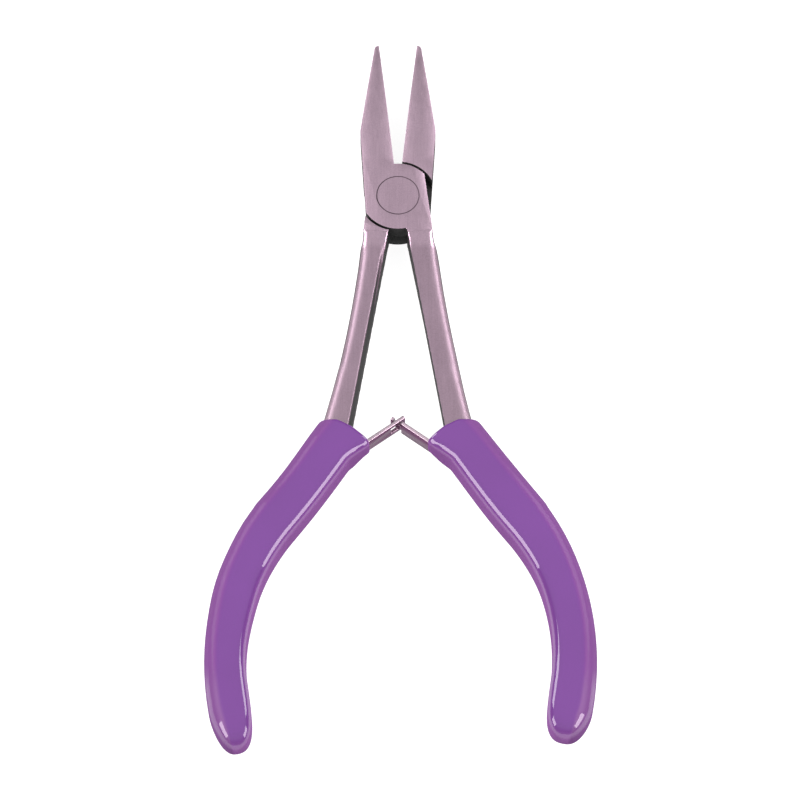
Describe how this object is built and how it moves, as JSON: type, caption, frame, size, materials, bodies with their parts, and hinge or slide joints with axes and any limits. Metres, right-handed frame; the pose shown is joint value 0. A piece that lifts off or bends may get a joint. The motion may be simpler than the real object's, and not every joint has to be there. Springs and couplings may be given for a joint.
{
  "type": "needle nose pliers",
  "caption": "Small needle nose pliers with a flush lap joint, smooth tapered jaws, bowed dipped grips and hooked leaf return springs.",
  "frame": {"origin": "on the pivot's axis, where it meets the underside of the lap joint", "axes": "+Y from the pivot to the jaw tips, +X to the right seen from the front, +Z out of the front face along the pivot's axis"},
  "size_m": [0.0622, 0.1266, 0.007],
  "materials": {
    "forged_steel": "ground satin, fine lengthwise grain, rounded tang edges",
    "rivet_steel": "ground flush with the joint",
    "spring_steel": "cold rolled strip, bright edges",
    "dipped_vinyl": "glossy dipped purple vinyl"
  },
  "bodies": {
    "front": {"front_half": "forged_steel", "pivot_rivet": "rivet_steel", "right_grip": "dipped_vinyl", "right_spring_rivet": "rivet_steel"},
    "back": {"back_half": "forged_steel", "left_grip": "dipped_vinyl", "left_spring_rivet": "rivet_steel"},
    "right_leaf": {"right_leaf_spring": "spring_steel"},
    "left_leaf": {"left_leaf_spring": "spring_steel"}
  },
  "joints": [
    {"name": "jaw_pivot", "type": "hinge", "parent": "front", "child": "back", "pos_m": [0, 0, 0], "axis": [0, 0, 1], "range_deg": [-2.5, 12.4], "stiffness_Nm_per_rad": 0.3},
    {"name": "right_leaf_hinge", "type": "hinge", "parent": "front", "child": "right_leaf", "pos_m": [0.01115, -0.05048, 0.003], "axis": [0, 0, 1], "range_deg": [-21.8, 4.4], "deforming": ["right_leaf_spring"]},
    {"name": "left_leaf_hinge", "type": "hinge", "parent": "back", "child": "left_leaf", "pos_m": [-0.01115, -0.05048, 0.003], "axis": [0, 0, 1], "range_deg": [-4.4, 21.8], "deforming": ["left_leaf_spring"]}
  ],
  "couplings": [
    {"joint": "right_leaf_hinge", "follows": "jaw_pivot", "ratio": -1.75},
    {"joint": "left_leaf_hinge", "follows": "jaw_pivot", "ratio": 1.75}
  ]
}
